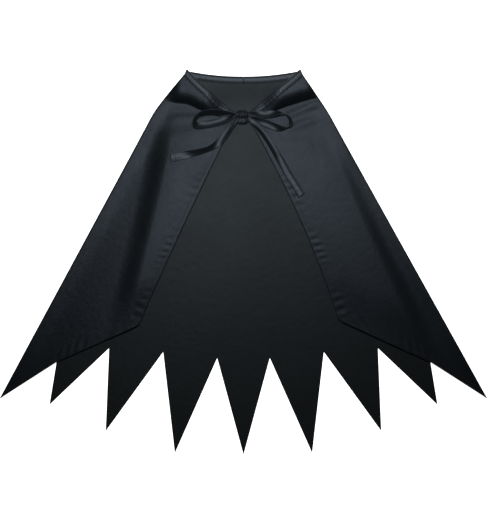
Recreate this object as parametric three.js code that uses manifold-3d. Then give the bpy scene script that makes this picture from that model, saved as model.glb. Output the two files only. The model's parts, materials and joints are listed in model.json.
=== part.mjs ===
// A child's tie-on dress-up cape with a nine-point hem, laid flat on its back with both fronts closed.
// Millimetres. +Y runs towards the neck, +Z up from the surface that the cape lies on, and the origin is
// on that surface under the middle of the cape. Left and right are as seen from above, neck at the top.
import * as THREE from 'three';
import { mergeVertices } from 'three/addons/utils/BufferGeometryUtils.js';
import Module from 'manifold-3d';

const wasm = await Module();
wasm.setup();

// ---- Driving dimensions -------------------------------------------------------------------------------

// The cape as a whole
const CAPE_LENGTH = 698;         // neck corner to the tip of the centre point
const CAPE_WIDTH = 886;          // between the two outermost tips
const NECK_WIDTH = 204;          // between the two neck corners
const NECK_DIP = 10.5;           // how far the back neckline curves down at its middle
const SHOULDER_DROP = 85;        // neck corner down to the foot of the shoulder curve

// The hem of the back: each tip and valley from the centre outwards, as a share of half the width and a
// height above the tip of the centre point
const HEM_POINTS = [
  { share: 0, height: 0 },
  { share: 0.108, height: 176 },
  { share: 0.282, height: 3 },
  { share: 0.330, height: 187 },
  { share: 0.566, height: 43 },
  { share: 0.552, height: 194 },
  { share: 0.797, height: 91 },
  { share: 0.768, height: 169 },
  { share: 1, height: 103 },
];
const OUTER_VALLEY = HEM_POINTS.length - 2;

// The two sides as the cape is laid: how far out the foot of the shoulder curve and the front's hem corner
// lie, that corner's height above the tip of the centre point, and how far the front edge bows outwards
const SIDES = {
  left: { hand: -1, shoulderReach: 168, cornerReach: 190, cornerHeight: 236, bow: 3 },
  right: { hand: 1, shoulderReach: 159, cornerReach: 173, cornerHeight: 245, bow: 11 },
};
const CORNER_ROUND = 9;          // how far from the hem corner its rounding starts
const CREASE_RISE = 195;         // hem corner up to where the corner's crease leaves the front edge

// Sewing
const CLOTH = 1.2;               // a panel's thickness, with its crease and nap
const LEAF = 1.0;                // one turned layer of a hem or of the neckband
const HEM_WIDTH = 9;             // turned hem of the front edges
const BAND_WIDTH = 14;           // finished neckband
const BIGHT = 1.5;               // the neckband's fold, seen from above
const FOLD_WIDTH = 2;            // the side fold, where the front turns into the back, seen from above
const THREAD = 0.5;              // how high a stitched line stands
const THREAD_WIDTH = 0.8;        // how wide it is
const STITCH_INSET = 1.6;        // from a hem's or band's inner edge to its stitched line
const GAP = 0.3;                 // clearance between neighbouring layers

// The tie and its bow
const TIE_WIDTH = 14;            // the tie laid flat
const TIE_THICKNESS = 1.2;       // two folded layers, pressed and stitched
const TIE_END_HEM = 10;          // turned end of a tail
const KNOT_DROP = 80;            // neck corner down to the middle of the knot
const KNOT_SHIFT = -3;           // the knot's place across the cape
const KNOT_WIDTH = 22;
const KNOT_LENGTH = 15;
const KNOT_HEIGHT = 12;
const CROSSING_WIDTH = 18;       // the half knot under the bow
const CROSSING_LENGTH = 20;
const CROSSING_DROP = 8;         // its middle below the knot's
const BAND_RISE = 4;             // how far above the knot's middle the neckband's front reaches it
const EDGE_FALL = 5;             // how far below the knot's middle the front edges start
const LOOP_STAND = 11;           // how high a loop's edge stands
const TAIL_SWING_UP = 10;        // degrees that a tail can swing up from where it lies
const ROOT_CLEARANCE = 0.7;      // between the knot and a tail's root as the tail swings
const ROOT_WIDTH = 7;            // a tail's width where the knot gathers it
const GATHER = 22;               // how far along a tail it reaches its full width

// Centre lines of the tie, outwards and upwards: the tails' from the middle of the knot, and the loops' from
// the knot's side
const TAIL_LINES = {
  left: [[28.5, -34.5], [41, -50], [57, -61], [85, -70], [107, -75.5], [128, -79]],
  right: [[38.5, -34.5], [62.5, -72.5], [81, -101.5], [95, -126], [108, -147]],
};
const LOOP_LINES = {
  left: [[0.5, 1], [23, 7], [46, 9], [64, 6], [74, -3], [76, -16], [70, -27], [58, -31], [37, -27],
    [15, -19], [0.5, -3.5]],
  right: [[0.5, 1], [14, 4], [34, 6], [56, 3.5], [71, -1], [77, -11], [75, -23], [67, -29], [53, -26],
    [32, -18], [0.5, -3.5]],
};

// ---- Places worked out from them ----------------------------------------------------------------------

const TOP = CAPE_LENGTH / 2;
const FOOT = -CAPE_LENGTH / 2;
const HALF_WIDTH = CAPE_WIDTH / 2;

// The layers, from the surface up
const Z_BACK = 0;
const Z_BACK_LEAF = Z_BACK + CLOTH + GAP;
const Z_UNDER = Z_BACK_LEAF + LEAF + GAP;
const Z_FRONT = Z_UNDER + LEAF + GAP;
const Z_OVER = Z_FRONT + CLOTH + GAP;
const Z_TAIL = Z_OVER + LEAF + GAP;
const Z_LOOP = Z_TAIL + TIE_THICKNESS + GAP;

const KNOT = new THREE.Vector2(KNOT_SHIFT, TOP - KNOT_DROP);

// ---- Plane geometry. Outlines are worked out for a right-hand side and mirrored for the left. ------------

const point = (x, y) => new THREE.Vector2(x, y);

// Moves an open line sideways, to its left where the distance is positive, with mitred bends. The distance
// is a number, or a function of how far along the line a point is.
function offsetLine(line, distance) {
  const sideways = typeof distance === 'function' ? distance : () => distance;
  let travelled = 0;
  const normals = line.slice(1).map((end, i) => {
    const along = end.clone().sub(line[i]).normalize();
    return point(-along.y, along.x);
  });
  return line.map((place, i) => {
    const before = normals[Math.max(i - 1, 0)];
    const after = normals[Math.min(i, normals.length - 1)];
    const mitre = before.clone().add(after).divideScalar(1 + before.dot(after));
    travelled += i > 0 ? place.distanceTo(line[i - 1]) : 0;
    return place.clone().addScaledVector(mitre, sideways(travelled));
  });
}

// The outline of a strip that lies between two distances to the left of an open line.
const strip = (line, from, to) => [...offsetLine(line, from), ...offsetLine(line, to).reverse()];

// A quadratic curve as points, bowed by a distance to the left of the straight way.
function bowedLine(start, end, bow, steps) {
  const along = end.clone().sub(start).normalize();
  const middle = start.clone().lerp(end, 0.5).add(point(-along.y, along.x).multiplyScalar(2 * bow));
  return new THREE.QuadraticBezierCurve(start, middle, end).getPoints(steps);
}

const hemPoint = ({ share, height }) => point(share * HALF_WIDTH, FOOT + height);
const NECK_CORNER = point(NECK_WIDTH / 2, TOP);
const OUTER_TIP = hemPoint(HEM_POINTS.at(-1));
const VALLEY = hemPoint(HEM_POINTS[OUTER_VALLEY]);

// The side of the cape: from the neck corner over the shoulder, then straight to the outermost tip.
function sideLine(side) {
  const foot = point(side.shoulderReach, TOP - SHOULDER_DROP);
  const down = OUTER_TIP.clone().sub(foot).normalize();
  const curve = new THREE.CubicBezierCurve(
    NECK_CORNER,
    NECK_CORNER.clone().add(point(0.08 * SHOULDER_DROP, -0.17 * SHOULDER_DROP)),
    foot.clone().addScaledVector(down, -0.45 * SHOULDER_DROP),
    foot,
  );
  return [...curve.getPoints(8), OUTER_TIP];
}

// The back neckline, lowered by a distance, from left to right.
function neckline(lowered) {
  const start = point(-NECK_CORNER.x, TOP - lowered);
  const end = point(NECK_CORNER.x, TOP - lowered);
  return bowedLine(start, end, -NECK_DIP, 16);
}

// The outline of the whole cape with its neckline lowered: the back panel's, or the silhouette's at 0.
function capeOutline(lowered) {
  const [left, right] = [SIDES.left, SIDES.right].map((side) => sideLine(side).slice(1, -1));
  const hem = HEM_POINTS.map(hemPoint);
  const mirrored = (line) => line.map(({ x, y }) => point(-x, y)).reverse();
  return [...neckline(lowered), ...right, ...hem.slice(1).reverse(), hem[0],
    ...mirrored(hem.slice(1).reverse()), ...mirrored(left)];
}

// Where the neckband's front runs: from the neck corner to beside the knot, or past it by a distance.
function bandLine(side, past = 0) {
  const end = point(KNOT_WIDTH / 2 + 1 + side.hand * KNOT_SHIFT, KNOT.y + BAND_RISE);
  const along = end.clone().sub(NECK_CORNER).normalize();
  return [NECK_CORNER, end.addScaledVector(along, past)];
}

// The front edge from beside the knot down to its hem corner.
function frontEdge(side) {
  const start = point(KNOT_WIDTH / 2 + side.hand * KNOT_SHIFT, KNOT.y - EDGE_FALL);
  const corner = point(side.cornerReach, FOOT + side.cornerHeight);
  return bowedLine(start, corner, side.bow, 8);
}

// The front edge with its rounded hem corner and the hem as far as the outer valley.
function hemmedEdge(side) {
  const edge = frontEdge(side);
  const corner = edge.at(-1);
  const upper = corner.clone().lerp(edge.at(-2), CORNER_ROUND / corner.distanceTo(edge.at(-2)));
  const outer = corner.clone().lerp(VALLEY, CORNER_ROUND / corner.distanceTo(VALLEY));
  const rounded = new THREE.QuadraticBezierCurve(upper, corner, outer).getPoints(4);
  return [...edge.slice(0, -1), ...rounded, VALLEY];
}

// A front's own outline: neck edge inside the neckband, shoulder and side, hem, and front edge.
function frontOutline(side) {
  const neckEdge = offsetLine(bandLine(side), BIGHT + GAP);
  return [...neckEdge.reverse(), ...sideLine(side).slice(1), ...hemmedEdge(side).reverse()];
}

// The part of the plane on the corner's side of the crease, kept clear of the crease by a distance.
function cornerZone(side, clearance) {
  const edge = frontEdge(side);
  const top = point(0, edge.at(-1).y + CREASE_RISE);
  const after = edge.findIndex((place) => place.y < top.y);
  const fall = (edge[after - 1].y - top.y) / (edge[after - 1].y - edge[after].y);
  top.x = THREE.MathUtils.lerp(edge[after - 1].x, edge[after].x, fall);
  const along = VALLEY.clone().sub(top).setLength(HALF_WIDTH);
  return strip([top.sub(along), VALLEY.clone().add(along)], -clearance, -HALF_WIDTH);
}

// ---- Solids ---------------------------------------------------------------------------------------------

// A flat plate with the given outline, mirrored for a left-hand piece.
function plate(outline, hand, bottom, thickness) {
  const shape = new THREE.Shape(outline.map(({ x, y }) => point(hand * x, y)));
  const geometry = new THREE.ExtrudeGeometry(shape, { depth: thickness, bevelEnabled: false, steps: 1 });
  return geometry.translate(0, 0, bottom);
}

function toManifold(geometry) {
  const bare = geometry.clone();
  bare.deleteAttribute('normal');
  bare.deleteAttribute('uv');
  const merged = mergeVertices(bare, 1e-4);
  return new wasm.Manifold(new wasm.Mesh({
    numProp: 3,
    vertProperties: new Float32Array(merged.attributes.position.array),
    triVerts: new Uint32Array(merged.index.array),
  }));
}

function toGeometry(solid) {
  const mesh = solid.getMesh();
  const geometry = new THREE.BufferGeometry();
  geometry.setAttribute('position', new THREE.BufferAttribute(mesh.vertProperties, 3));
  geometry.setIndex(new THREE.BufferAttribute(mesh.triVerts, 1));
  const flat = geometry.toNonIndexed();
  flat.computeVertexNormals();
  return flat;
}

// A line of stitches at a distance inside an edge, as the ridge that its thread makes.
function stitches(line, inset, hand, bottom) {
  const half = THREAD_WIDTH / 2;
  return toManifold(plate(strip(line, inset - half, inset + half), hand, bottom, THREAD));
}

const join = (...plates) => plates.map(toManifold).reduce((sum, solid) => sum.add(solid));
const cut = (solid, ...tools) => tools.map(toManifold).reduce((rest, tool) => rest.subtract(tool), solid);

// ---- Materials ------------------------------------------------------------------------------------------

const cloth = (color, roughness) => () => new THREE.MeshStandardMaterial({ color, roughness, metalness: 0 });
const OUTER_CLOTH = cloth(0x1f242b, 0.8);
const INNER_CLOTH = cloth(0x23292d, 0.88);
const TAPE_CLOTH = cloth(0x242a31, 0.75);
const SEWING_THREAD = cloth(0x14181d, 0.6);

const cape = new THREE.Group();

function add(name, geometry, material) {
  const mesh = new THREE.Mesh(geometry, material());
  mesh.name = name;
  cape.add(mesh);
}

// ---- Back panel and the neckband along it -----------------------------------------------------------------

// The back is one width of cloth with nine cut points. Its neck edge lies inside the neckband's fold.
add('back_panel', plate(capeOutline(BIGHT + GAP), 1, Z_BACK, CLOTH), INNER_CLOTH);

// The neckband is joined at the centre back, so each half is a piece of its own: a fold that stands at the
// neck edge, and the leaf that lies over the inside of the back. Its stitched line ends where the band's
// front comes down over it.
const insideNeck = toManifold(plate(capeOutline(0), 1, Z_BACK, Z_TAIL));
for (const [name, side] of Object.entries(SIDES)) {
  const { hand } = side;
  const half = neckline(0).filter(({ x }) => x >= 0);
  half[0].x = GAP / 2;
  const leaf = plate(strip(half, 0, -BAND_WIDTH), hand, Z_BACK_LEAF, LEAF);
  const bight = plate(strip(half, 0, -BIGHT), hand, Z_BACK, Z_BACK_LEAF + LEAF);
  add(`neckband_back_${name}`, toGeometry(join(leaf, bight).intersect(insideNeck)), TAPE_CLOTH);

  const bandFront = plate(strip(bandLine(side, GAP), -GAP, SHOULDER_DROP), hand, Z_BACK, Z_TAIL);
  const line = stitches(half, -BAND_WIDTH + STITCH_INSET, hand, Z_BACK_LEAF + LEAF + GAP);
  const seam = cut(line.intersect(insideNeck), bandFront);
  add(`neckband_back_${name}_stitching`, toGeometry(seam), SEWING_THREAD);
}

// ---- Fronts, their turn-back corners, hems, neckband and stitching ----------------------------------------

for (const [name, side] of Object.entries(SIDES)) {
  const { hand } = side;
  const corner = toManifold(plate(cornerZone(side, GAP / 2), hand, Z_BACK, Z_TAIL));
  const cornerRoom = plate(cornerZone(side, -GAP / 2), hand, Z_BACK, Z_TAIL);
  const outline = toManifold(plate(frontOutline(side), hand, Z_BACK, Z_TAIL));
  const band = bandLine(side);

  // The panel, parted along the crease that its corner turns back about.
  const panel = toManifold(plate(frontOutline(side), hand, Z_FRONT, CLOTH));
  add(`${name}_front_panel`, toGeometry(cut(panel, cornerRoom)), OUTER_CLOTH);
  add(`${name}_front_corner`, toGeometry(panel.intersect(corner)), OUTER_CLOTH);

  // The side fold that joins it to the back panel, a low wall that stops short of the neckband.
  const bandRoom = strip(bandLine(side, GAP), 0, BAND_WIDTH + GAP);
  const underBand = plate(bandRoom, hand, Z_BACK, Z_FRONT);
  const fold = plate(strip(sideLine(side), 0, -FOLD_WIDTH), hand, Z_BACK_LEAF, Z_FRONT - GAP - Z_BACK_LEAF);
  const wall = cut(toManifold(fold).intersect(outline), underBand);
  add(`${name}_side_fold`, toGeometry(wall), OUTER_CLOTH);

  // The turned hems, a second layer under the edge: down the front, round the corner and out to the tip.
  const foldRoom = plate(strip(sideLine(side), 0, -FOLD_WIDTH - GAP), hand, Z_BACK, Z_TAIL);
  const hem = (line) => toManifold(plate(strip(line, 0, HEM_WIDTH), hand, Z_UNDER, LEAF)).intersect(outline);
  const tipEdge = [VALLEY, OUTER_TIP];
  add(`${name}_front_hem`, toGeometry(cut(hem(frontEdge(side)), cornerRoom, underBand)), OUTER_CLOTH);
  add(`${name}_corner_hem`, toGeometry(hem(hemmedEdge(side)).intersect(corner)), OUTER_CLOTH);
  add(`${name}_tip_hem`, toGeometry(cut(hem(tipEdge), cornerRoom, foldRoom)), OUTER_CLOTH);

  // The hems' stitched lines, on the outer face.
  const overBand = plate(bandRoom, hand, Z_OVER, THREAD);
  const seam = (line) => stitches(line, HEM_WIDTH - STITCH_INSET, hand, Z_OVER).intersect(outline);
  const frontSeam = cut(seam(frontEdge(side)), cornerRoom, overBand);
  add(`${name}_front_stitching`, toGeometry(frontSeam), SEWING_THREAD);
  add(`${name}_corner_stitching`, toGeometry(seam(hemmedEdge(side)).intersect(corner)), SEWING_THREAD);
  add(`${name}_tip_stitching`, toGeometry(cut(seam(tipEdge), cornerRoom)), SEWING_THREAD);

  // The neckband's front: a folded tape over the neck edge, with a leaf above and a leaf below it, and the
  // stitched line that holds both leaves.
  const silhouette = toManifold(plate(capeOutline(0), 1, Z_BACK, Z_LOOP));
  const tape = join(
    plate(strip(band, 0, BAND_WIDTH), hand, Z_UNDER, LEAF),
    plate(strip(band, 0, BAND_WIDTH), hand, Z_OVER, LEAF),
    plate(strip(band, 0, BIGHT), hand, Z_UNDER, Z_OVER + LEAF - Z_UNDER),
  );
  add(`neckband_${name}`, toGeometry(tape.intersect(silhouette)), TAPE_CLOTH);
  const seamLine = bandLine(side, -KNOT_WIDTH / 3);
  const bandSeam = stitches(seamLine, BAND_WIDTH - STITCH_INSET, hand, Z_TAIL).intersect(silhouette);
  add(`neckband_${name}_stitching`, toGeometry(bandSeam), SEWING_THREAD);
}

// ---- The knot, its two loops and two tails ----------------------------------------------------------------

// The first half of the knot, where the two ties cross, is pressed flat under the turn that holds the bow.
const crossing = new THREE.CylinderGeometry(1, 1, LEAF, 20).rotateX(Math.PI / 2);
crossing.scale(CROSSING_WIDTH / 2, CROSSING_LENGTH / 2, 1);
crossing.translate(KNOT.x, KNOT.y - CROSSING_DROP, Z_OVER + LEAF / 2);
add('half_knot', crossing, TAPE_CLOTH);

// The turn of tie round the middle of the bow, a rounded drum.
const drum = [[0, 0], [0.84, 0], [1, 0.14], [1, 0.62], [0.86, 0.88], [0.5, 1], [0, 1]];
const turn = new THREE.LatheGeometry(drum.map(([out, up]) => point(out, up)), 24).rotateX(Math.PI / 2);
turn.scale(KNOT_WIDTH / 2, KNOT_LENGTH / 2, KNOT_HEIGHT);
turn.translate(KNOT.x, KNOT.y, Z_TAIL);
add('bow_knot', turn, TAPE_CLOTH);

// How far the knot reaches from its middle in a direction.
function knotReach(direction) {
  const { x, y } = direction.clone().normalize();
  return 1 / Math.hypot(x / (KNOT_WIDTH / 2), y / (KNOT_LENGTH / 2));
}

for (const [name, { hand }] of Object.entries(SIDES)) {
  const knot = point(hand * KNOT.x, KNOT.y);
  const places = (line, origin) => line.map(([x, y]) => origin.clone().add(point(x, y)));

  // A loop stands on its edge, so it is a thin wall along its centre line.
  const knotSide = knot.clone().add(point(KNOT_WIDTH / 2, 0));
  const loopLine = new THREE.SplineCurve(places(LOOP_LINES[name], knotSide)).getPoints(40);
  const halfTie = TIE_THICKNESS / 2;
  add(`${name}_loop`, plate(strip(loopLine, halfTie, -halfTie), hand, Z_LOOP, LOOP_STAND), TAPE_CLOTH);

  // A tail lies flat, and its end is turned once and stitched.
  const away = point(...TAIL_LINES[name][0]);
  const swungUp = away.clone().rotateAround(point(0, 0), THREE.MathUtils.degToRad(TAIL_SWING_UP));
  const root = away.clone().setLength(knotReach(swungUp) + ROOT_CLEARANCE);
  const tailPlaces = [knot.clone().add(root), ...places(TAIL_LINES[name], knot)];
  const tailLine = new THREE.SplineCurve(tailPlaces).getPoints(24);
  const halfWidth = TIE_WIDTH / 2;
  const { lerp, clamp } = THREE.MathUtils;
  const gathered = (along) => lerp(ROOT_WIDTH / 2, halfWidth, clamp(along / GATHER, 0, 1));
  const tail = strip(tailLine, gathered, (along) => -gathered(along));
  add(`${name}_tail`, plate(tail, hand, Z_TAIL, TIE_THICKNESS), TAPE_CLOTH);
  const end = tailLine.at(-1);
  const back = end.clone().sub(tailLine.at(-2)).setLength(TIE_END_HEM);
  const turned = strip([end.clone().sub(back), end], halfWidth, -halfWidth);
  add(`${name}_tail_end`, plate(turned, hand, Z_LOOP, LEAF), TAPE_CLOTH);
}

export default cape;
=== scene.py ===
import json
import math

import bmesh
import bpy
import numpy as np
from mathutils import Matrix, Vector


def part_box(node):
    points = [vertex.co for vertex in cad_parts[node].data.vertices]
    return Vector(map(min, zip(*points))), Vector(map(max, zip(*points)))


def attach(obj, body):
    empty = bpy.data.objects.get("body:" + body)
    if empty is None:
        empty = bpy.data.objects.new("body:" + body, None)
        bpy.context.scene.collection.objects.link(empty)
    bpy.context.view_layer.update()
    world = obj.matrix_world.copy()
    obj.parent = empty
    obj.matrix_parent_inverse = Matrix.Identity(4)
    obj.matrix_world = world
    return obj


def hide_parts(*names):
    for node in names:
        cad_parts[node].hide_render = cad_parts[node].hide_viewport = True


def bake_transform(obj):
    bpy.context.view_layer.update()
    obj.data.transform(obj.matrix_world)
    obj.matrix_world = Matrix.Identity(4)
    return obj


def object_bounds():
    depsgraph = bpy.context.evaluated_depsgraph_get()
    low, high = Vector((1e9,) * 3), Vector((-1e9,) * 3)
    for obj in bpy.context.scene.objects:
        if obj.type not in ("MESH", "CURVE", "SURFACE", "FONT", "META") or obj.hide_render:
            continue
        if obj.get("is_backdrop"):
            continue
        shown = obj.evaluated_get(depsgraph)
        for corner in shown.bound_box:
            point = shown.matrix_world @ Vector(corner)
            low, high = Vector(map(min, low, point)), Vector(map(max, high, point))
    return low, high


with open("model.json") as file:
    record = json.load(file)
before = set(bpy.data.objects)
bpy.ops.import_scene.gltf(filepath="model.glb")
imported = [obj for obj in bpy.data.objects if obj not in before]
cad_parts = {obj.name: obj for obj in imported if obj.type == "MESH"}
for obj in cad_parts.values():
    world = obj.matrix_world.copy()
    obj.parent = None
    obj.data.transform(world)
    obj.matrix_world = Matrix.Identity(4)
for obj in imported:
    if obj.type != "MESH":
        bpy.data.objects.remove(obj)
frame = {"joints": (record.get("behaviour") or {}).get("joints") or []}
cad_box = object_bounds()
MM = 0.001

# ---- Studio ----
# A plain white table top under the cape, a small softbox nearly overhead with a weak fill beyond the
# neck, and a camera that looks straight down. The table top glows a little, so it stays white all round.
FLOOR_WHITE = (0.9, 0.9, 0.895, 1)
VIEW_WIDTH = 886.3 * MM          # what the camera takes in across the table
VIEW_SHARE = 508 / 487           # and along it
VIEW_MIDDLE = (0, 16.4 * MM, 0)
LENS, SENSOR = 85, 36
TABLE_GLOW = 0.7
WORLD_LIGHT = 0.05               # how strongly the surroundings light the cape
WORLD_SEEN = 0.65                # how much brighter they look where the camera sees them directly


class Wire:
    """An output of a shader node. Arithmetic on it adds Math nodes."""

    def __init__(self, finish, socket):
        self.finish, self.socket = finish, socket

    def maths(self, operation, *values):
        inputs = dict(enumerate(values))
        return self.finish.node("Math", {"operation": operation}, inputs)

    def __add__(self, other):
        return self.maths("ADD", self, other)

    def __sub__(self, other):
        return self.maths("SUBTRACT", self, other)

    def __rsub__(self, other):
        return self.maths("SUBTRACT", other, self)

    def __mul__(self, other):
        return self.maths("MULTIPLY", self, other)

    def sine(self):
        return self.maths("SINE", self)

    __radd__, __rmul__ = __add__, __mul__


class Finish:
    """A material under construction: every node of it is made by node()."""

    def __init__(self, name):
        self.material = bpy.data.materials.new(name)
        self.material.use_nodes = True
        self.tree = self.material.node_tree
        self.tree.nodes.clear()

    def node(self, kind, settings=None, inputs=None, output=0):
        """Adds a node, gives it its settings, then its sockets' values and links."""
        made = self.tree.nodes.new("ShaderNode" + kind)
        for name, value in (settings or {}).items():
            setattr(made, name, value)
        for name, value in (inputs or {}).items():
            if isinstance(value, Wire):
                self.tree.links.new(value.socket, made.inputs[name])
            else:
                made.inputs[name].default_value = value
        return Wire(self, made.outputs[output]) if len(made.outputs) else None

    def mix(self, share, first, second):
        """A colour between two colours."""
        sides = {0: share, 6: first, 7: second}
        return self.node("Mix", {"data_type": "RGBA"}, sides, output=2)

    def noise(self, place, scale, detail=2.0):
        sides = {"Vector": place, "Scale": scale, "Detail": detail}
        return self.node("TexNoise", {}, sides)

    def done(self, inputs):
        """Ends in a Principled surface with these sockets and gives back the material."""
        surface = self.node("BsdfPrincipled", {}, inputs)
        self.node("OutputMaterial", {}, {"Surface": surface})
        return self.material


paper = Finish("table_top")
grain = paper.noise(paper.node("TexCoord", output=3), 40)
table = paper.done({
    "Base Color": paper.mix(grain, FLOOR_WHITE, (0.88, 0.88, 0.875, 1)),
    "Roughness": 0.9,
    "Specular IOR Level": 0.1,
    "Emission Color": (1, 1, 0.995, 1),
    "Emission Strength": TABLE_GLOW,
    "Normal": paper.node("Bump", {}, {"Strength": 0.02, "Height": grain}),
})
bpy.ops.mesh.primitive_plane_add(size=40)
floor = bpy.context.object
floor.name = "table_top"
floor.data.materials.append(table)
floor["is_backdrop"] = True

camera = bpy.data.objects.new("overhead", bpy.data.cameras.new("overhead"))
bpy.context.scene.collection.objects.link(camera)
bpy.context.scene.camera = camera
camera.data.lens, camera.data.sensor_width = LENS, SENSOR
reach = VIEW_WIDTH * VIEW_SHARE * LENS / SENSOR
camera.location = Vector(VIEW_MIDDLE) + Vector((0, 0, reach))

for name, place, size, power in (
    ("softbox", (0, 0.32, 1.0), (0.2, 0.2), 20),
    ("high_fill", (0, 1.3, 1.2), (0.7, 0.7), 1),
):
    light = bpy.data.lights.new(name, "AREA")
    light.shape, light.size, light.size_y, light.energy = "RECTANGLE", *size, power
    lamp = bpy.data.objects.new(name, light)
    lamp.location = place
    lamp.rotation_euler = (Vector((0, 0.05, 0)) - lamp.location).to_track_quat("-Z", "Y").to_euler()
    lamp.visible_camera = False
    bpy.context.scene.collection.objects.link(lamp)

world = bpy.data.worlds.new("studio")
world.use_nodes = True
backdrop = world.node_tree.nodes["Background"]
backdrop.inputs["Color"].default_value = (1, 1, 1, 1)
seen = world.node_tree.nodes.new("ShaderNodeLightPath")
level = world.node_tree.nodes.new("ShaderNodeMath")
level.operation = "MULTIPLY_ADD"
level.inputs[1].default_value, level.inputs[2].default_value = WORLD_SEEN, WORLD_LIGHT
world.node_tree.links.new(seen.outputs["Is Camera Ray"], level.inputs[0])
world.node_tree.links.new(level.outputs[0], backdrop.inputs["Strength"])
bpy.context.scene.world = world
bpy.context.scene.view_settings.view_transform = "Standard"
bpy.context.scene.view_settings.look = "None"

# ---- Back ----
# One width of dull-faced cloth, cut with nine points along the hem and left raw there. It lies face
# down on the table, so its inside shows between the fronts and at the points.
TOP = cad_box[1].y
FOOT = cad_box[0].y
HALF_WIDTH = cad_box[1].x
NECK_REACH = 102 * MM            # from the middle to a neck corner
NECK_DIP = 10.5 * MM
SHOULDER_DROP = 85 * MM
FOLD_ROUND = 2.4 * MM            # how far a side fold bulges past its flat part
JOIN_INSET = 4 * MM              # where the back meets a front's side fold
NECK_LIFT = 8.5 * MM             # the folded neckband holds the back off the table
BACK_REST = 0.45 * MM            # height of the back's middle layer where it lies flat
BACK_CLOTH = 0.45 * MM
HEM_POINTS = np.array([[0, 0], [0.108, 176], [0.282, 3], [0.330, 187], [0.566, 43], [0.552, 194],
                       [0.797, 91], [0.768, 169], [1, 103]]) * (HALF_WIDTH, MM) + (0, FOOT)
SIDES = {
    "left": {"hand": -1, "shoulder": 168 * MM, "corner": (190 * MM, FOOT + 236 * MM), "bow": 3 * MM},
    "right": {"hand": 1, "shoulder": 159 * MM, "corner": (173 * MM, FOOT + 245 * MM), "bow": 11 * MM},
}


def ease(value, start=0.0, end=1.0):
    """0 before start and 1 after end, with a smooth cubic step between them."""
    share = np.clip((value - start) / (end - start), 0, 1)
    return share * share * (3 - 2 * share)


def hump(value, middle, spread):
    """A bell of height 1 at middle."""
    return np.exp(-(((value - middle) / spread) ** 2))


def even(line, count):
    """Points at equal steps of length along a line."""
    steps = np.linalg.norm(np.diff(line, axis=0), axis=1)
    run = np.concatenate([[0], np.cumsum(steps)])
    where = np.linspace(0, run[-1], count)
    return np.stack([np.interp(where, run, column) for column in line.T], axis=1)


def drawn(places, count):
    """A Catmull-Rom curve through places, whose rows may hold more than a position."""
    places = np.asarray(places, float)
    padded = np.vstack([2 * places[0] - places[1], places, 2 * places[-1] - places[-2]])
    where = np.linspace(0, len(places) - 1, count)
    k = np.minimum(where.astype(int), len(places) - 2)
    t = (where - k)[:, None]
    a, b, c, d = (padded[k + i] for i in range(4))
    return 0.5 * (2 * b + (c - a) * t + (2 * a - 5 * b + 4 * c - d) * t**2 + (3 * b - a - 3 * c + d) * t**3)


def bezier(corners, count):
    """A Bezier curve of any degree over its corner points, by the sum of Bernstein weights."""
    t = np.linspace(0, 1, count)[:, None]
    degree = len(corners) - 1
    return sum(math.comb(degree, i) * t**i * (1 - t) ** (degree - i) * np.array(place, float)
               for i, place in enumerate(corners))


def side_line(side):
    """The cape's side: a curve over the shoulder, then straight to the outermost tip."""
    corner = np.array([NECK_REACH, TOP])
    foot = np.array([side["shoulder"], TOP - SHOULDER_DROP])
    down = (HEM_POINTS[-1] - foot) / np.linalg.norm(HEM_POINTS[-1] - foot)
    first = corner + SHOULDER_DROP * np.array([0.08, -0.17])
    curve = bezier([corner, first, foot - 0.45 * SHOULDER_DROP * down, foot], 30)
    return np.vstack([curve, HEM_POINTS[-1]])


def normals(line):
    """Unit vectors square to a plane line, to its right."""
    along = np.gradient(line, axis=0)
    along /= np.linalg.norm(along, axis=1)[:, None]
    return np.stack([along[:, 1], -along[:, 0]], axis=1)


def back_height(x, y):
    """The back's middle layer: on the table, in soft waves that run down the cape and die out at
    the hem, and lifted towards the neckband. A wave is a sine of the place across, which widens
    with the cape."""
    down = (TOP - y) / (TOP - FOOT)
    across = x / (0.1 + 0.34 * down)
    waves = 0.5 + 0.5 * np.sin(9.5 * across + 2.2 * down + 0.6) * np.cos(2.1 * down - 0.4)
    waves = 1.0 * MM * waves * (1 - ease(down, 0.6, 0.95)) * ease(down, 0.05, 0.15)
    return BACK_REST + waves + NECK_LIFT * ease(y, TOP - 75 * MM, TOP - 5 * MM)


def surface(name, places, flip=False, around=False, run=None):
    """A mesh of quads over a grid of places, rows by columns by 3. around joins the last column to
    the first. run holds a length along and one across for each place and becomes the UV map."""
    rows, columns = places.shape[:2]
    grid = np.arange(rows * columns).reshape(rows, columns)
    if around:
        grid = np.hstack([grid, grid[:, :1]])
    corners = [grid[:-1, :-1], grid[:-1, 1:], grid[1:, 1:], grid[1:, :-1]]
    faces = np.stack(corners[::-1] if flip else corners, axis=-1).reshape(-1, 4)
    mesh = bpy.data.meshes.new(name)
    mesh.vertices.add(rows * columns)
    mesh.vertices.foreach_set("co", places.astype(np.float32).ravel())
    mesh.loops.add(faces.size)
    mesh.loops.foreach_set("vertex_index", faces.ravel())
    mesh.polygons.add(len(faces))
    mesh.polygons.foreach_set("loop_start", np.arange(0, faces.size, 4))
    mesh.polygons.foreach_set("use_smooth", np.ones(len(faces), bool))
    mesh.update(calc_edges=True)
    if run is not None:
        if around:
            girth = run[:, -1:] + (run[:, 1:2] - run[:, :1])
            run = np.concatenate([run, girth], axis=1)
        sides = [run[:-1, :-1], run[:-1, 1:], run[1:, 1:], run[1:, :-1]]
        values = np.stack(sides[::-1] if flip else sides, axis=2).reshape(-1, 2)
        mesh.uv_layers.new(name="Run").data.foreach_set("uv", values.astype(np.float32).ravel())
    piece = bpy.data.objects.new(name, mesh)
    bpy.context.scene.collection.objects.link(piece)
    return piece


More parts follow.
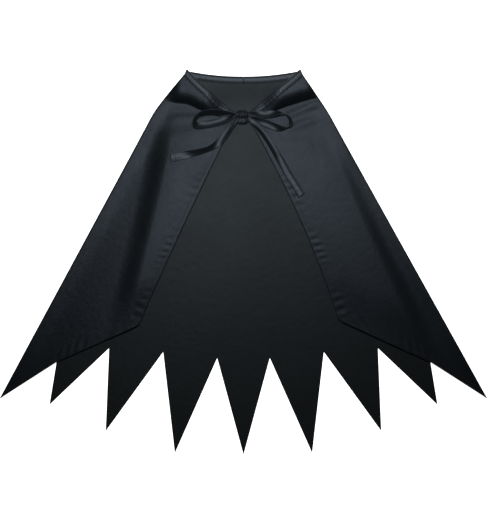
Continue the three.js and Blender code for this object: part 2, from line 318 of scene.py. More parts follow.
def sewn(piece, ends=False):
    """Joins places that coincide, and closes open ends with fans."""
    build = bmesh.new()
    build.from_mesh(piece.data)
    bmesh.ops.remove_doubles(build, verts=build.verts, dist=0.00001)
    if ends:
        bmesh.ops.holes_fill(build, edges=[e for e in build.edges if e.is_boundary])
    build.to_mesh(piece.data)
    build.free()
    return piece


def thick(piece, thickness):
    """Gives a single surface its cloth's thickness, half to each side."""
    wall = piece.modifiers.new("cloth", "SOLIDIFY")
    wall.thickness, wall.offset = thickness, 0
    return piece


def woven(name, dark, light, tint, rough, gloss, turn, pitch=0.7 * MM, coordinate=3, relief=0.3):
    """Twill cloth: slanting ribs crossed by the yarns, slubs, and worn and smoother patches."""
    cloth = Finish(name)
    place = cloth.node("TexCoord", output=coordinate)
    turned = cloth.node("Mapping", {}, {"Vector": place, "Rotation": (0, 0, turn)})
    parted = cloth.node("SeparateXYZ", {}, {"Vector": turned})
    along, across = (Wire(cloth, parted.socket.node.outputs[i]) for i in (0, 1))
    turns = 2 * math.pi / pitch
    ribs = ((along + across * 0.6) * turns).sine()
    yarns = (along * turns * 2.3).sine() * (across * turns * 2.3).sine()
    slubs = cloth.noise(turned, 500, 3)
    patches = cloth.noise(turned, 14, 3)
    crumple = cloth.noise(turned, 90, 4)
    height = ribs * 0.5 + yarns * 0.3 + slubs * 1.4
    shade = slubs * 0.55 + patches * 0.45 + ribs * 0.06
    bump = cloth.node("Bump", {}, {"Strength": relief, "Distance": 0.12 * MM, "Height": height})
    soft = cloth.node("Bump", {}, {"Strength": 0.3, "Distance": 1.1 * MM, "Height": crumple,
                                   "Normal": bump})
    return cloth.done({
        "Base Color": cloth.mix(shade, dark, light),
        "Roughness": rough - 0.13 + patches * 0.1 + slubs * 0.16,
        "Specular IOR Level": gloss,
        "Specular Tint": tint,
        "Sheen Weight": 0.02,
        "Sheen Roughness": 0.5,
        "Sheen Tint": tint,
        "Normal": soft,
    })


inner_cloth = woven("inner_cloth", (0.0012, 0.0015, 0.0018, 1), (0.0026, 0.0032, 0.0036, 1),
                    (0.74, 0.87, 0.94, 1), 0.47, 0.07, 0.0)

BACK_ROWS, BACK_STEPS = 200, 14
share = np.concatenate([np.linspace(0, 1, BACK_STEPS, endpoint=False) + i for i in range(8)] + [[8.0]])
hem_half = np.stack([np.interp(share, np.arange(9), HEM_POINTS[:, i]) for i in (0, 1)], axis=1)
hem_half[-1] -= (3.2 * MM, -1.2 * MM)
plans = {}
for name, side in SIDES.items():
    reach_across = (share / 8)[None, :, None]
    neck = np.stack([share / 8 * (NECK_REACH - JOIN_INSET),
                     TOP - 3 * MM - NECK_DIP * (1 - (share / 8) ** 2)], axis=1)
    edge = even(side_line(side), BACK_ROWS)
    edge = edge + normals(edge) * JOIN_INSET
    straight = neck[-1] + (hem_half[-1] - neck[-1]) * np.linspace(0, 1, BACK_ROWS)[:, None]
    bulge = edge - edge[0] + neck[-1] - straight
    bulge -= np.linspace(0, 1, BACK_ROWS)[:, None] * bulge[-1]
    down = np.linspace(0, 1, BACK_ROWS)[:, None, None]
    plans[name] = neck[None] * (1 - down) + hem_half[None] * down + bulge[:, None] * reach_across**3
    plans[name] = plans[name] * (side["hand"], 1)
plan = np.concatenate([plans["left"][:, :0:-1], plans["right"]], axis=1)
heights = back_height(plan[..., 0], plan[..., 1])
back = thick(surface("back", np.dstack([plan, heights]), flip=True), BACK_CLOTH)
back.data.materials.append(inner_cloth)
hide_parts("back_panel")
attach(back, "cape")

# ---- Fronts ----
# Each front is the same width of cloth brought round the side in a soft fold and laid over the back.
# Its edge and lower hem are turned under once and stitched.
FRONT_REST = 4.2 * MM            # height of a front's middle layer where it lies flat
FRONT_CLOTH = 0.5 * MM
HEM_WIDTH = 9 * MM
HEM_ROLL = 0.6 * MM
STITCH_LINE = 7.4 * MM           # from the hem's edge in to its stitches
knot_low, knot_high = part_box("bow_knot")
KNOT = (knot_low + knot_high) / 2
KNOT_REACH = (knot_high.x - knot_low.x) / 2
CORNER_ROUND = 9 * MM
# The fold that runs from the shoulder to the hem: height up the cape and distance out, then its width
# and its rise
LONG_FOLDS = {
    "left": ([[330, 128], [284, 141], [184, 158], [65, 184], [-22, 205], [-106, 226], [-190, 247]], 46, 7),
    "right": ([[330, 118], [226, 176], [149, 205], [42, 249], [-40, 287], [-111, 318], [-200, 352]], 44, 4.5),
}
# The drag fold under the neckband: distance out and height up the cape
DRAG_FOLDS = {
    "left": [[0, 262], [35, 270], [57, 277], [79, 286], [100, 296], [122, 299], [150, 302], [190, 302]],
    "right": [[0, 262], [41, 276], [63, 286], [90, 296], [112, 303], [140, 308], [190, 312]],
}
# Soft creases that the bow draws: start, end (out, up), spread and height
BOW_CREASES = {
    "left": [([60, 262], [128, 262], 7, 1.6), ([80, 240], [150, 225], 14, 1.2),
             ([45, 225], [95, 150], 12, 1.0)],
    "right": [([70, 262], [135, 290], 7, 1.8), ([75, 240], [130, 262], 8, 1.6),
              ([60, 215], [120, 215], 14, 1.0)],
}
PUCKER = 0.14 * MM               # how far the stitches draw the cloth up and down
SHOULDER_RISE = 7 * MM           # how far the fronts rise from the chest to the shoulders
OUTER_FALL = 4.5 * MM            # how far a front sinks from its middle to its side
SIDE_LOFT = 2.6 * MM             # how much higher a front lies beside its side fold
DRAG_RISE = 11 * MM              # how far the cloth climbs over the drag fold
CREASE_SHARE = 0.65              # how much of a crease's height is left once the cloth has settled


def band_line(side, count):
    """Where the neckband's front runs in plan, from the neck corner to beside the knot."""
    end = np.array([KNOT_REACH + 1 * MM + side["hand"] * KNOT.x, KNOT.y + 4 * MM])
    start = np.array([NECK_REACH, TOP])
    sag = 2.2 * MM if side["hand"] < 0 else 0.2 * MM
    middle = (start + end) / 2 + 2 * sag * np.array([0.64, -0.77])
    return even(bezier([start, middle, end], 40), count)


def front_edge(side):
    """The front edge from beside the knot, round its hem corner, along the hem to the outer tip."""
    start = np.array([KNOT_REACH + side["hand"] * KNOT.x, KNOT.y - 5 * MM])
    corner = np.array(side["corner"])
    along = (corner - start) / np.linalg.norm(corner - start)
    across = np.array([-along[1], along[0]])
    edge = bezier([start, (start + corner) / 2 + 2 * side["bow"] * across, corner], 60)
    upper = corner - along * CORNER_ROUND
    valley = HEM_POINTS[-2]
    out = (valley - corner) / np.linalg.norm(valley - corner)
    kept = edge[np.linalg.norm(edge - corner, axis=1) > CORNER_ROUND * 1.05]
    return np.vstack([kept, bezier([upper, corner, corner + out * CORNER_ROUND], 12), valley, HEM_POINTS[-1]])


def read_at(line, y):
    """The distance out of a line that runs down the cape, at a height up the cape."""
    return np.interp(y, line[::-1, 1], line[::-1, 0])


def front_height(side, x, y):
    """The front's middle layer at a plan place, x outwards. To a rest height it adds: the long fold,
    a smooth step up towards the front edge that sinks again before it; the drag fold, steep on its
    lower side and gentle towards the neck; a slow rise to the shoulders and a slow fall to the side;
    the rounding beside the side fold; creases that spread from the bow; and the waves that the hem's
    stitches draw in."""
    name = "left" if side["hand"] < 0 else "right"
    points, width, rise = LONG_FOLDS[name]
    line = drawn(np.array(points)[:, ::-1] * MM, 200)
    edge = front_edge(side)
    inward = read_at(line, y) - x
    room = np.maximum(read_at(line, y) - read_at(edge[:70], y), 30 * MM)
    hem_y = np.interp(x, edge[-3:, 0], edge[-3:, 1])
    lift = rise * MM * ease(y, 310 * MM, 170 * MM) * (0.25 + 0.75 * ease(y - hem_y, 0, 90 * MM))
    climb = np.clip(inward / (width * MM) + 0.55, 0, 1)
    step = ease(climb**1.2)
    height = lift * step * (1 - 0.6 * ease(inward, width * MM * 0.38, room + 30 * MM))
    drag = drawn(np.array(DRAG_FOLDS[name]) * MM, 200)
    above = y - np.interp(x, drag[:, 0], drag[:, 1])
    strength = ease(x, 25 * MM, 70 * MM) * ease(-x, -150 * MM, -112 * MM)
    climb = np.clip((above + 9 * MM) / (27 * MM), 0, 1)
    drag_rise = strength * (1 - (1 - climb) ** 2.2) * ease(climb, 0, 0.14)
    drag_rise = drag_rise * (1 + 0.1 * ease(above, 12 * MM, 45 * MM))
    height = height + DRAG_RISE * drag_rise
    height = height + SHOULDER_RISE * ease(y, 195 * MM, 325 * MM) * ease(x, 15 * MM, 70 * MM)
    beside = read_at(side_line(side), y) - x
    height = height + (OUTER_FALL * ease(beside, 0, 130 * MM) * ease(-y, -300 * MM, -200 * MM)
                       * ease(y, -300 * MM, -150 * MM))
    height = height + (SIDE_LOFT * hump(beside, 2 * MM, 17 * MM) * ease(-y, -335 * MM, -250 * MM)
                       * ease(y, -240 * MM, -150 * MM))
    for start, end, spread, amount in BOW_CREASES[name]:
        start, end = np.array(start) * MM, np.array(end) * MM
        length = np.linalg.norm(end - start)
        along = (end - start) / length
        run = (x - start[0]) * along[0] + (y - start[1]) * along[1]
        off = (x - start[0]) * along[1] - (y - start[1]) * along[0]
        within = ease(run, -12 * MM, 14 * MM) * ease(-run, -length - 14 * MM, -length + 14 * MM)
        height = height + CREASE_SHARE * amount * MM * hump(off, 0, spread * MM) * within
    corner = side["corner"]
    beside_edge = hump(x - read_at(edge[:70], y), 11 * MM, 8 * MM) * ease(y, corner[1], corner[1] + 12 * MM)
    wave = np.sin(2 * math.pi * (y - 0.3 * x) / (15 * MM) + 2.6 * np.sin(y / (29 * MM)))
    wave = wave * (1 + np.sin(y / (17 * MM)))
    height = height + PUCKER * beside_edge * wave * ease(-y, -215 * MM, -160 * MM)
    above_hem = hump(y - hem_y, 12 * MM, 10 * MM) * ease(x, corner[0], corner[0] + 10 * MM)
    wave = np.sin(2 * math.pi * (x + 0.35 * y) / (17 * MM) + 2.4 * np.sin(x / (25 * MM)))
    wave = wave * (1.3 + np.sin(x / (15 * MM)))
    height = height + PUCKER * above_hem * wave * ease(-x, -380 * MM, -330 * MM)
    return FRONT_REST + height


outer_cloths = {
    name: woven(f"outer_cloth_{name}", (0.0006, 0.0008, 0.001, 1), (0.0014, 0.0018, 0.0022, 1),
                (0.69, 0.83, 1.0, 1), 0.44, 0.095, turn)
    for name, turn in (("left", -0.5), ("right", 0.45))
}


def bend_corner(piece, name):
    """Finds the corner's joint and the side of its crease that lies beyond, then bakes the piece's placement
    into its mesh.
    """
    joint = next(j for j in frame["joints"] if j["child"] == f"{name}_corner")
    pivot, axis = Vector(joint["pos_m"]), Vector(joint["axis"]).normalized()
    beyond = axis.cross(Vector((0, 0, 1)))
    if beyond.y > 0:
        beyond.negate()
    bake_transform(piece)


FRONT_ROWS, FRONT_COLUMNS, ROLL_STEPS = 300, 110, 9
for name, side in SIDES.items():
    inner = even(front_edge(side), FRONT_ROWS)
    band = band_line(side, 60)[::-1]
    tuck = band + normals(band[::-1])[::-1] * -5 * MM
    tuck = tuck[np.linalg.norm(tuck - band[-1], axis=1) > 10 * MM]
    down_side = side_line(side)
    outline = np.vstack([tuck, down_side[down_side[:, 1] < TOP - 7 * MM]])
    outer = even(outline, FRONT_ROWS)
    on_side = np.linspace(0, 1, FRONT_ROWS)
    total = np.linalg.norm(np.diff(outline, axis=0), axis=1).sum()
    neck_share = np.linalg.norm(np.diff(tuck, axis=0), axis=1).sum() / total
    fold = 0.1 + 0.9 * ease(on_side, neck_share - 0.002, neck_share + 0.007)
    gap = np.linalg.norm(outer - inner, axis=1)
    hem_out, side_out = -normals(inner), -normals(outer)
    hem_out = hem_out * np.sign(np.sum(hem_out * (inner - outer), axis=1))[:, None]
    side_out = side_out * np.sign(np.sum(side_out * (outer - inner), axis=1))[:, None]
    fold_round = np.minimum(FOLD_ROUND, gap * 0.12) * fold
    roll = np.minimum(HEM_ROLL, gap * 0.1)
    inner_flat = inner - hem_out * roll[:, None]
    outer_flat = outer - side_out * fold_round[:, None]
    across = np.linspace(0, 1, FRONT_COLUMNS)[None, :, None]
    plan = inner_flat[:, None] * (1 - across) + outer_flat[:, None] * across
    face = np.dstack([plan, front_height(side, plan[..., 0], plan[..., 1])])
    angle = np.linspace(math.pi, 0, ROLL_STEPS, endpoint=False)
    hem_width = np.minimum(HEM_WIDTH, gap * 0.3)[:, None] * np.linspace(1, 0.1, 6)[None]
    under = inner_flat[:, None] - hem_out[:, None] * hem_width[..., None]
    under = np.dstack([under, front_height(side, under[..., 0], under[..., 1]) - 2 * roll[:, None]])
    turned = inner_flat[:, None] + hem_out[:, None] * (roll[:, None] * np.sin(angle))[..., None]
    drop = roll[:, None] * (1 - np.cos(angle))
    turned = np.dstack([turned, face[:, :1, 2] - drop])
    angle = np.linspace(0, math.pi, ROLL_STEPS + 5)[1:]
    bulge = outer_flat[:, None] + side_out[:, None] * (fold_round[:, None] * np.sin(angle))[..., None]
    low = back_height(bulge[..., 0], bulge[..., 1])
    low = low * fold[:, None] + (face[:, -1:, 2] - 1 * MM) * (1 - fold[:, None])
    bulge = np.dstack([bulge, low + (face[:, -1:, 2] - low) * (1 + np.cos(angle)) / 2])
    end = (outer - side_out * (JOIN_INSET * np.minimum(1, gap / (20 * MM)))[:, None])[:, None]
    end = np.dstack([end, bulge[:, -1:, 2]])
    places = np.concatenate([under, turned, face, bulge, end], axis=1)
    places = places * (side["hand"], 1, 1)
    front = sewn(surface(f"{name}_front", places, flip=side["hand"] < 0))
    thick(front, FRONT_CLOTH)
    front.data.materials.append(outer_cloths[name])
    nodes = ("front_panel", "side_fold", "front_corner", "front_hem", "corner_hem", "tip_hem")
    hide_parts(*(f"{name}_{node}" for node in nodes))
    bend_corner(front, name)

# ---- Hem stitches ----
# One row of lock stitches in black thread holds each front's turned hem, down the edge, round the
# corner and out to the tip. It pulls the cloth in a little at every stitch.
STITCH = 3 * MM
STITCH_SAMPLES = 8
THREAD_RADIUS = 0.24 * MM


def thread_finish(name):
    """Twisted thread: a fine slanting ridge along its run."""
    cord = Finish(name)
    run = cord.node("SeparateXYZ", {}, {"Vector": cord.node("TexCoord", output=2)})
    along, around = (Wire(cord, run.socket.node.outputs[i]) for i in (0, 1))
    twist = (along * (2 * math.pi / (0.5 * MM)) + around * (2 * math.pi / (1.5 * MM))).sine()
    return cord.done({
        "Base Color": cord.mix(twist * 0.5 + 0.5, (0.001, 0.0012, 0.0015, 1), (0.0035, 0.004, 0.005, 1)),
        "Roughness": 0.55 + twist * 0.05,
        "Specular IOR Level": 0.15,
        "Normal": cord.node("Bump", {}, {"Strength": 0.4, "Distance": 0.05 * MM, "Height": twist}),
    })


def unit(vectors):
    return vectors / np.linalg.norm(vectors, axis=-1, keepdims=True)


def stitched(name, line, up):
    """A row of stitches along a line in space: a thin tube whose middle rises out of the cloth and
    dips into it once a stitch."""
    length = np.linalg.norm(np.diff(line, axis=0), axis=1).sum()
    count = int(length / STITCH) * STITCH_SAMPLES + 1
    steps = np.concatenate([[0], np.cumsum(np.linalg.norm(np.diff(line, axis=0), axis=1))])
    where = np.linspace(0, steps[-1], count)
    path = np.stack([np.interp(where, steps, column) for column in line.T], axis=1)
    lift = unit(np.stack([np.interp(where, steps, column) for column in up.T], axis=1))
    wave = np.cos(np.arange(count) * 2 * math.pi / STITCH_SAMPLES)
    path = path + lift * (0.06 * MM + 0.3 * MM * wave)[:, None]
    side = unit(np.cross(np.gradient(path, axis=0), lift))
    turn = np.linspace(0, 2 * math.pi, 6, endpoint=False)[None, :, None]
    ring = side[:, None] * np.cos(turn) + lift[:, None] * np.sin(turn)
    places = path[:, None] + THREAD_RADIUS * ring
    run = np.dstack([np.broadcast_to(where[:, None], (count, 6)),
                     np.broadcast_to(turn[..., 0] * THREAD_RADIUS, (count, 6))])
    return sewn(surface(name, places, flip=True, around=True, run=run), ends=True)


thread = thread_finish("black_thread")
for name, side in SIDES.items():
    edge = even(front_edge(side), 700)
    inward = normals(edge)
    inward = inward * np.sign(np.sum(inward * (np.array([300 * MM, 100 * MM]) - edge), axis=1))[:, None]
    room = np.linalg.norm(edge - HEM_POINTS[-1], axis=1)[:, None]
    seam = (edge + inward * np.minimum(STITCH_LINE, room * 0.2))[8:-14]
    rise = front_height(side, seam[:, 0], seam[:, 1]) + FRONT_CLOTH / 2
    line = np.column_stack([seam, rise]) * (side["hand"], 1, 1)
    seam = stitched(f"{name}_hem_seam", line, np.tile([0.0, 0, 1], (len(line), 1)))
    seam.data.materials.append(thread)
    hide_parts(*(f"{name}_{part}_stitching" for part in ("front", "corner", "tip")))
    bend_corner(seam, name)

# ---- Neckband ----
# The neck edge is bound with a folded tape of the same cloth, 14 mm wide. It runs from the bow up each
# front, turns over with the side fold and meets its other half at the centre back.
BAND_WIDTH = 14 * MM
LEAF = 0.9 * MM                  # from the panel's middle to a leaf's face
NECK_ROLL = 1.2 * MM             # how much fuller the folded edge is
BAND_STITCH = 11.5 * MM
BAND_GATHER = 30 * MM            # how far from the bow the band starts to narrow
NECK_STEPS, REAR_STEPS = 170, 110
TAPE_COLUMNS = 44

tape_cloth = woven("tape_cloth", (0.0008, 0.0011, 0.0014, 1), (0.0024, 0.003, 0.0036, 1),
                   (0.72, 0.85, 1.0, 1), 0.5, 0.2, 0.0, coordinate=2)


def neck_run(side):
    """The neck edge in plan from the bow round the side fold to the centre back: places, the way
    down the tape from each, the way out of the side fold, and the fold's angle, 0 on the front and
    half a turn on the back."""
    way_out = np.array([0.9, 0.43])
    turn_over = np.array([NECK_REACH, TOP]) - way_out * FOLD_ROUND
    front = band_line(side, NECK_STEPS)[::-1]
    front = front - (front[-1] - turn_over) * (np.linspace(0, 1, NECK_STEPS) ** 8)[:, None]
    angle = np.linspace(0, math.pi, 26)[1:-1]
    fold = turn_over + way_out * FOLD_ROUND * np.sin(angle)[:, None]
    x = np.linspace(turn_over[0], 0.1 * MM, REAR_STEPS)
    rear = np.column_stack([x, turn_over[1] + 1 * MM * (1 - x / x[0]) - NECK_DIP * (1 - (x / x[0]) ** 2)])
    places = np.vstack([front, fold, rear])
    angles = np.concatenate([np.zeros(NECK_STEPS), angle, np.full(REAR_STEPS, math.pi)])
    run = np.concatenate([[0], np.cumsum(np.linalg.norm(np.diff(places, axis=0), axis=1))])
    square = normals(band_line(side, NECK_STEPS))[80] * -1
    square = square * np.sign(-square[1])
    marks = run[[0, 150, 182, 200]]
    ways = np.array([square, square, [0.43, -0.9], [0, -1.0]])
    down = unit(np.stack([np.interp(run, marks, ways[:, i]) for i in (0, 1)], axis=1))
    return places, down, way_out, angles, run


def neck_places(side, across, height):
    """Places on the tape: across is the way down it from the neck edge and height the way out of
    its face. The tape follows the front's height, turns over, and follows the back's."""
    places, down, way_out, angles, run = neck_run(side)
    gather = 0.5 + 0.5 * ease(run, 0, BAND_GATHER)
    across = across * gather[:, None]
    plan = places[:, None] + down[:, None] * across[..., None]
    plan = plan + way_out * (height * np.sin(angles)[:, None])[..., None]
    high = front_height(side, plan[..., 0], plan[..., 1]) + 4 * MM * (1 - ease(run, 0, BAND_GATHER))[:, None]
    low = back_height(plan[..., 0], plan[..., 1])
    turned = np.cos(angles)[:, None]
    z = low + (high - low) * (1 + turned) / 2 + height * turned
    return np.dstack([plan, z]) * (side["hand"], 1, 1), run


def tape_profile(columns):
    """One turn round the tape's section: out along its face and back along its inner leaf. The
    folded edge is full and round, and the row of stitches sinks into both leaves."""
    turn = np.linspace(0, 2 * math.pi, columns, endpoint=False)
    across = BAND_WIDTH * (1 - np.cos(turn)) / 2
    nose = np.sqrt(np.clip(1 - (1 - np.clip(across / (1.5 * MM), 0, 1)) ** 2, 0, 1))
    foot = np.sqrt(np.clip(1 - (1 - np.clip((BAND_WIDTH - across) / (0.5 * MM), 0, 1)) ** 2, 0, 1))
    full = LEAF + NECK_ROLL * hump(across, 1.6 * MM, 1.3 * MM) + 0.35 * MM * hump(across, 7 * MM, 3 * MM)
    full = full + 0.45 * MM * hump(across, BAND_WIDTH - 0.9 * MM, 0.8 * MM)
    full = full - 0.6 * MM * hump(across, BAND_STITCH, 0.6 * MM)
    return across, full * nose * foot * np.sign(np.sin(turn) + 1e-9)


across, height = tape_profile(TAPE_COLUMNS)
for name, side in SIDES.items():
    rows = len(neck_run(side)[0])
    grid = (rows, TAPE_COLUMNS)
    ripple = np.sin(np.arange(rows) * 0.55)[:, None] * 0.1 * MM
    heights = np.broadcast_to(height, grid) + ripple * np.sign(height) * (across > 6 * MM)
    places, run = neck_places(side, np.broadcast_to(across, grid), heights)
    lengths = np.dstack([np.broadcast_to(run[:, None], grid), np.broadcast_to(across, grid)])
    band = surface(f"{name}_neckband", places, flip=side["hand"] > 0, around=True, run=lengths)
    band = sewn(band, ends=True)
    band.data.materials.append(tape_cloth)
    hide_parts(f"neckband_{name}", f"neckband_back_{name}")
    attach(band, "cape")

    rows_on = np.full((rows, 1), BAND_STITCH)
    line, run = neck_places(side, rows_on, np.full((rows, 1), LEAF - 0.25 * MM))
    inner, run = neck_places(side, rows_on, np.full((rows, 1), -LEAF + 0.25 * MM))
    turned = neck_run(side)[3] > 1
    line = np.where(turned[:, None], inner[:, 0], line[:, 0])[8:]
    up = np.tile([0.0, 0, 1], (len(line), 1))
    seam = stitched(f"{name}_neckband_seam", line, up)
    seam.data.materials.append(thread)
    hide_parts(f"neckband_{name}_stitching", f"neckband_back_{name}_stitching")
    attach(seam, "cape")

# ---- Ties: loops and tails ----
# The neckband's tape runs on as two ties, tied in a bow. A loop stands on its edge and leans over, and
# a tail lies on a front and turns over once. Each tail's end is turned in and stitched in a rectangle.
TIE_FULL = 1.3 * MM
TIE_STITCH = 0.72                # the stitched line's place, as a share of half the width
TIE_COLUMNS = 36
LOOP_STEPS, TAIL_STEPS, END_STEPS = 170, 150, 11
# Rows of a tie's middle line: out, up, above the front, lean in degrees, width, curl in degrees. A loop's
# lean is how far its upper edge tips outwards; a tail's is how far its upper edge is raised. A curled tie
# is arched across its width.
LOOPS = {
    "left": [[13, 270, 7.5, 0, 8, 0], [24, 271.5, 8, 20, 11, 20], [42, 272.5, 8, 38, 13.5, 30],
             [60, 272.5, 8, 40, 14, 30], [74, 270.5, 8, 35, 14, 20], [84, 264, 8, 25, 14, 10],
             [88.5, 255, 7.5, 30, 14, 0], [84, 248.5, 6.5, 60, 14, 30], [70, 250, 6, 80, 14, 70],
             [50, 254, 6, 82, 14, 80], [32, 259.5, 6.5, 75, 12, 60], [21, 264, 7, 45, 10, 30],
             [13, 267, 7.5, 0, 8, 0]],
    "right": [[7, 270, 7.5, -20, 8, 0], [18, 270.5, 7.5, -50, 11, 30], [30, 269.5, 7, -78, 14, 60],
              [42, 268.5, 7, -80, 14, 70], [54, 269.5, 7.5, -65, 14, 50], [66, 270, 8, -30, 14, 20],
              [77, 267, 8, 5, 14, 0], [84, 260, 8, 20, 14, 0], [85, 251, 7.5, 25, 14, 0],
              [79, 244.5, 7, 0, 14, 10],
              [68, 243.5, 6.5, -40, 14, 40], [54, 247.5, 6.5, -70, 14, 70], [38, 254, 6.5, -75, 13, 70],
              [24, 261.5, 6.8, -45, 10, 30], [8, 266.5, 7.5, 0, 8, 0]],
}
TAILS = {
    "left": [[9, 263, 6, -25, 8, 20], [20, 250, 4.5, -20, 11, 60], [31, 235, 3.8, -15, 13, 70],
             [43, 220, 3.5, 0, 12, 60], [58, 209, 4.5, 40, 13, 40], [74, 203, 5, 45, 14, 30],
             [90, 198.5, 4, 30, 14, 30], [104, 195.5, 2.8, 5, 14, 30], [118, 192.5, 2.8, -5, 14, 30],
             [131, 190, 2.8, -3, 14, 20]],
    "right": [[8, 263, 6, -20, 8, 20], [20, 253, 5, 10, 11, 50], [32, 240, 5, 24, 14, 90],
              [45, 221, 5, 28, 14, 90], [58, 200, 4.3, 22, 14, 80], [67, 186, 3.5, 5, 14, 60],
              [80, 163, 2.8, -2, 14, 40], [93, 142, 2.8, 0, 14, 40], [105, 122, 2.8, 0, 14, 30]],
}


def tie_places(path, across, widths, curls, flat, height):
    """Places on a tie carried along a path: flat runs from -1 to 1 across its width and height stands
    out of its middle layer. Across its width the tie is arched into a part of a circle."""
    along = unit(np.gradient(path, axis=0))
    across = unit(across - along * np.sum(across * along, axis=1, keepdims=True))
    face = np.cross(along, across)
    bend = np.maximum(curls, 0.01)[:, None]
    arm = widths[:, None] / bend
    turned = flat * bend / 2
    aside = (arm + height) * np.sin(turned)
    proud = (arm + height) * np.cos(turned) - arm * np.cos(bend / 4)
    return path[:, None] + across[:, None] * aside[..., None] + face[:, None] * proud[..., None]


def tie_surface(name, path, across, widths, curls, gathers, hand, full=TIE_FULL):
    """A flat tube of tape carried along a path. Its section is a long rounded oval with a pressed
    edge and a sunk row of stitches, and near the knot it is gathered into pleats."""
    turn = np.linspace(0, 2 * math.pi, TIE_COLUMNS, endpoint=False)
    flat = np.sign(np.cos(turn)) * np.abs(np.cos(turn)) ** 0.8
    thick_part = np.sign(np.sin(turn)) * np.abs(np.sin(turn)) ** 0.35 / 2
    thick_part = thick_part * (1 - 0.5 * hump(flat, TIE_STITCH, 0.08))
    pleats = np.cos(flat * 3.5 * math.pi) * 0.55 * MM
    height = full * thick_part * (1 + gathers[:, None]) + pleats * gathers[:, None]
    places = tie_places(path, across, widths, curls, flat, height)
    run = np.concatenate([[0], np.cumsum(np.linalg.norm(np.diff(path, axis=0), axis=1))])
    lengths = np.dstack([np.broadcast_to(run[:, None], places.shape[:2]),
                         np.broadcast_to(turn * 4 * MM, places.shape[:2])])
    return sewn(surface(name, places, flip=hand > 0, around=True, run=lengths), ends=True)


def tie_path(rows, side, count):
    """A tie's middle line in space, its lean, its width and its curl, from rows of its plan."""
    line = drawn(np.array(rows, float), count)
    plan = line[:, :2] * MM
    height = front_height(side, plan[:, 0], plan[:, 1])
    return (np.column_stack([plan, height + line[:, 2] * MM]), np.radians(line[:, 3]), line[:, 4] * MM,
            np.radians(line[:, 5]))


def tie_seam(name, path, across, widths, curls, kept):
    """The row of stitches along a tie's closed edge, sunk in its groove."""
    flat, low = np.array([[TIE_STITCH]]), np.array([[TIE_FULL * 0.27]])
    line = tie_places(path, across, widths, curls, flat, low)[kept, 0]
    up = tie_places(path, across, widths, curls, flat, low + MM)[kept, 0] - line
    seam = stitched(name, line, up)
    seam.data.materials.append(thread)
    return seam


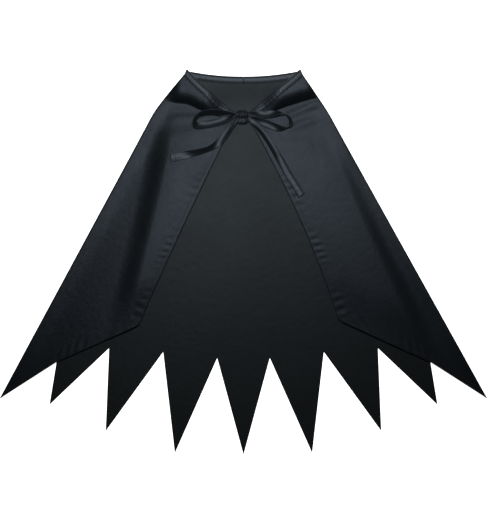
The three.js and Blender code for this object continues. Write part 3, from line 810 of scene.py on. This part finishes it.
for name, side in SIDES.items():
    mirror = (side["hand"], 1, 1)
    path, lean, width, curl = tie_path(LOOPS[name], side, LOOP_STEPS)
    smooth = np.convolve(np.pad(path[:, 2], 12, "edge"), np.ones(25) / 25, "valid")
    path[:, 2] = np.maximum(smooth, path[:, 2] - 1 * MM)
    along = unit(np.gradient(path, axis=0))
    out = unit(np.column_stack([-along[:, 1], along[:, 0], np.zeros(len(path))]))
    across = np.cos(lean)[:, None] * np.array([0, 0, 1.0]) + np.sin(lean)[:, None] * out
    steps = np.arange(LOOP_STEPS)
    ends = 1 - ease(np.minimum(steps, steps[::-1]), 0, 26)
    loop = tie_surface(f"{name}_bow_ribbon", path * mirror, across * mirror, width, curl, ends, side["hand"])
    loop.data.materials.append(tape_cloth)
    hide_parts(f"{name}_loop")
    joint = next(j for j in frame["joints"] if j["child"] == f"{name}_bow_loop")
    root = Vector(joint["pos_m"])
    seam = tie_seam(f"{name}_bow_ribbon_seam", path * mirror, across * mirror, width, curl, slice(22, -22))
    reach_out = Vector((side["hand"] * 16 * MM, 0, 0))
    for piece in (loop, seam):
        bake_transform(piece)

    path, lean, width, curl = tie_path(TAILS[name], side, TAIL_STEPS)
    along = unit(np.gradient(path, axis=0))
    upper = unit(np.column_stack([-along[:, 1], along[:, 0], np.zeros(len(path))]))
    across = np.cos(lean)[:, None] * upper + np.sin(lean)[:, None] * np.array([0, 0, 1.0])
    ends = 1 - ease(np.arange(TAIL_STEPS), 0, 30)
    tail = tie_surface(f"{name}_tie", path * mirror, across * mirror, width, curl, ends, side["hand"])
    tail.data.materials.append(tape_cloth)
    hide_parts(f"{name}_tail")
    joint = next(j for j in frame["joints"] if j["child"] == f"{name}_tie_tail")
    root = Vector(joint["pos_m"])
    reach_out = Vector(path[20] * mirror) - root
    seam = tie_seam(f"{name}_tie_seam", path * mirror, across * mirror, width, curl, slice(24, -12))
    for piece in (tail, seam):
        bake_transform(piece)

    kept = slice(len(path) - END_STEPS, len(path))
    face = np.cross(along, across)
    face = face * np.sign(face[:, 2:])
    turned = path[kept] + face[kept] * 0.75 * MM
    hem = tie_surface(f"{name}_tie_hem", turned * mirror, across[kept] * mirror, width[kept] * 0.98,
                      curl[kept], np.zeros(END_STEPS), side["hand"], full=1.1 * MM)
    hem.data.materials.append(tape_cloth)
    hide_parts(f"{name}_tail_end")
    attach(hem, f"{name}_tie_tail")
    long_way, wide_way = along[kept][5], across[kept][5]
    middle = turned[5] + face[kept][5] * 0.6 * MM
    corners = [(-4, -4.6), (4, -4.6), (4, 4.6), (-4, 4.6), (-4, -4.6)]
    ring = np.array([middle + long_way * u * MM + wide_way * v * MM for u, v in corners]) * mirror
    rectangle = stitched(f"{name}_tie_hem_seam", even(ring, 60), np.tile(face[kept][5] * mirror, (60, 1)))
    rectangle.data.materials.append(thread)
    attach(rectangle, f"{name}_tie_tail")

# ---- Knot ----
# The two ties cross once in a half knot, pressed low, and one of them is wrapped over the bow's middle.
# The tape is pulled tight there, so its folds run round the wrap.


def wrap(name, middle, radii, folds, twist, flip):
    """A short barrel lying across the cape: rings round its own axis whose radius follows a rounded
    profile, with folds that run round it and drift sideways as they go."""
    rows, columns = 72, 64
    t = np.linspace(-1, 1, rows)[:, None]
    turn = np.linspace(0, 2 * math.pi, columns, endpoint=False)[None]
    profile = (1 - np.abs(t) ** 3.2) ** 0.45
    drift = t * folds * math.pi + twist * np.sin(turn + 0.6)
    crease = 1 + 0.09 * np.cos(drift) * (1 - t**4) + 0.03 * np.sin(2.3 * drift + turn)
    radius = profile * crease
    x = middle[0] + radii[0] * t * np.ones_like(turn)
    y = middle[1] + radii[1] * radius * np.cos(turn)
    z = middle[2] + radii[2] * radius * np.sign(np.sin(turn)) * np.abs(np.sin(turn)) ** 0.6
    run = np.dstack([np.broadcast_to(turn * radii[1], y.shape), np.broadcast_to(t * radii[0], y.shape)])
    return sewn(surface(name, np.dstack([x, y, z]), flip=flip, around=True, run=run), ends=True)


low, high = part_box("half_knot")
lump = wrap("knot_crossing", ((low.x + high.x) / 2 + 1 * MM, (low.y + high.y) / 2 - 1 * MM, 8.5 * MM),
            (10.5 * MM, 8 * MM, 4.6 * MM), 3.2, 1.4, False)
turn_over = wrap("knot_wrap", (KNOT.x, KNOT.y, 12.6 * MM), (KNOT_REACH + 0.5 * MM, 7.4 * MM, 7 * MM),
                 4.6, 0.7, False)
for piece, node in ((lump, "half_knot"), (turn_over, "bow_knot")):
    piece.data.materials.append(tape_cloth)
    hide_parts(node)
    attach(piece, "cape")

size = {"cad": [list(corner) for corner in cad_box], "visual": [list(corner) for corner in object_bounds()]}
